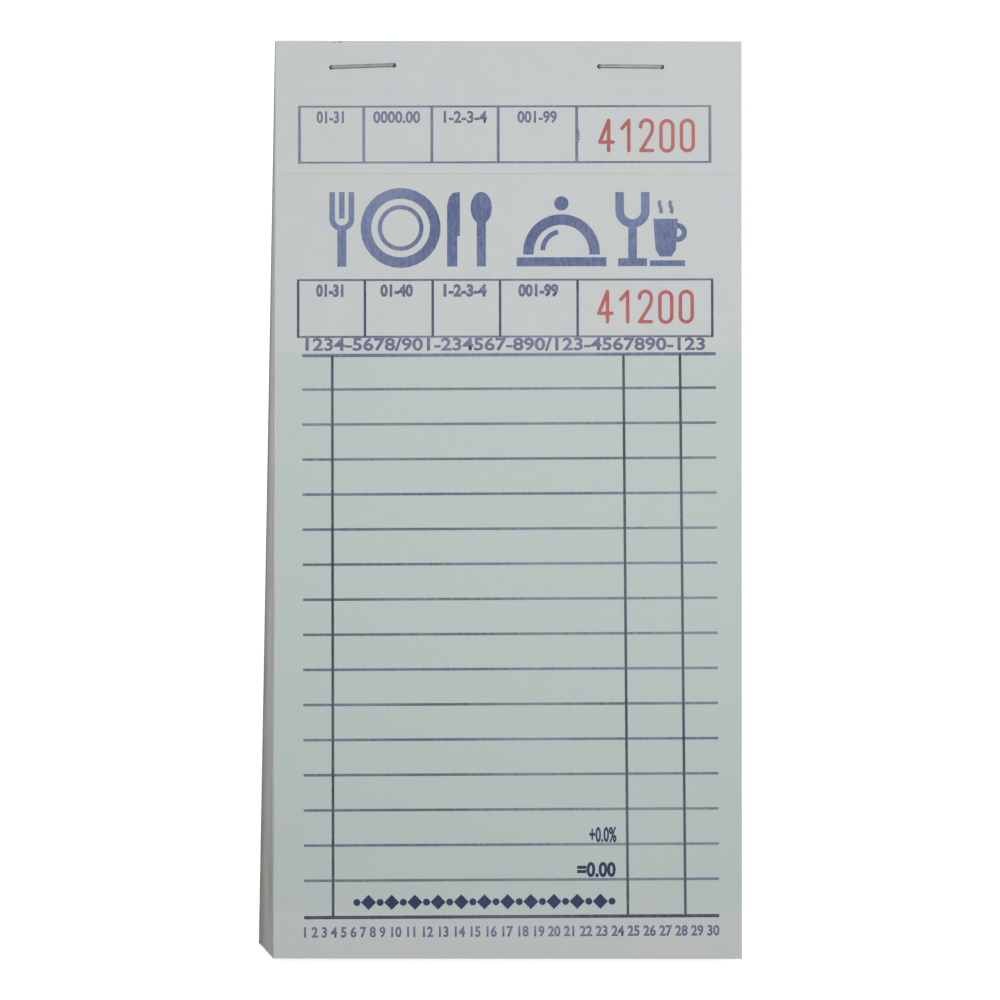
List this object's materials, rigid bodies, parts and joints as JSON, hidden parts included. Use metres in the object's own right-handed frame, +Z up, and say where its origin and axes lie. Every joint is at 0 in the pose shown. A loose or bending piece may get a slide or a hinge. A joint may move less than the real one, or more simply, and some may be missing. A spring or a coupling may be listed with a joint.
{
  "type": "guest check pad",
  "caption": "Tall narrow pad of perforated printed restaurant order slips, stapled across the top to a stiff grey board, with the checks lifting and tearing off below a stub.",
  "frame": {"origin": "on the underside of the board, below the centre of the top leaf", "axes": "+X across the pad to the right as it is read, +Y towards the stapled end, +Z up out of the printed face"},
  "size_m": [0.0908, 0.1725, 0.0071],
  "materials": {
    "paper": "uncoated white bond paper, matt, printed in blue, green and red",
    "chipboard": "grey recycled chipboard, matt, slightly fibrous",
    "staple_wire": "galvanised steel stitching wire, dull grey"
  },
  "bodies": {
    "binding": {"backing_board": "chipboard", "staple_left": "staple_wire", "staple_right": "staple_wire", "bound_edge_01": "paper", "bound_edge_02": "paper", "bound_edge_quire_1": "paper", "bound_edge_quire_2": "paper", "bound_edge_quire_3": "paper"},
    "quire_3": {"leaf_35": "paper", "leaf_36": "paper", "leaf_37": "paper", "leaf_38": "paper", "leaf_39": "paper", "leaf_40": "paper", "leaf_41": "paper", "leaf_42": "paper", "leaf_43": "paper", "leaf_44": "paper", "leaf_45": "paper", "leaf_46": "paper", "leaf_47": "paper", "leaf_48": "paper", "leaf_49": "paper", "leaf_50": "paper"},
    "quire_2": {"leaf_19": "paper", "leaf_20": "paper", "leaf_21": "paper", "leaf_22": "paper", "leaf_23": "paper", "leaf_24": "paper", "leaf_25": "paper", "leaf_26": "paper", "leaf_27": "paper", "leaf_28": "paper", "leaf_29": "paper", "leaf_30": "paper", "leaf_31": "paper", "leaf_32": "paper", "leaf_33": "paper", "leaf_34": "paper"},
    "quire_1": {"leaf_03": "paper", "leaf_04": "paper", "leaf_05": "paper", "leaf_06": "paper", "leaf_07": "paper", "leaf_08": "paper", "leaf_09": "paper", "leaf_10": "paper", "leaf_11": "paper", "leaf_12": "paper", "leaf_13": "paper", "leaf_14": "paper", "leaf_15": "paper", "leaf_16": "paper", "leaf_17": "paper", "leaf_18": "paper"},
    "second_leaf": {"leaf_02": "paper"},
    "top_stub": {"stub_01": "paper"},
    "top_check": {"check_01": "paper"}
  },
  "joints": [
    {"name": "lift_quire_3", "type": "hinge", "parent": "binding", "child": "quire_3", "pos_m": [0, 0.07673, 0.00505], "axis": [-1, 0, 0], "range_deg": [0, 8]},
    {"name": "lift_quire_2", "type": "hinge", "parent": "quire_3", "child": "quire_2", "pos_m": [0, 0.07673, 0.00505], "axis": [-1, 0, 0], "range_deg": [0, 10]},
    {"name": "lift_quire_1", "type": "hinge", "parent": "quire_2", "child": "quire_1", "pos_m": [0, 0.07673, 0.00505], "axis": [-1, 0, 0], "range_deg": [0, 12]},
    {"name": "lift_second_leaf", "type": "hinge", "parent": "quire_1", "child": "second_leaf", "pos_m": [0, 0.07673, 0.00505], "axis": [-1, 0, 0], "range_deg": [0, 25]},
    {"name": "lift_top_leaf", "type": "hinge", "parent": "second_leaf", "child": "top_stub", "pos_m": [0, 0.07673, 0.00505], "axis": [-1, 0, 0], "range_deg": [0, 110]},
    {"name": "fold_at_perforation", "type": "hinge", "parent": "top_stub", "child": "top_check", "pos_m": [0, 0.06082, 0.00525], "axis": [-1, 0, 0], "range_deg": [0, 90]}
  ]
}
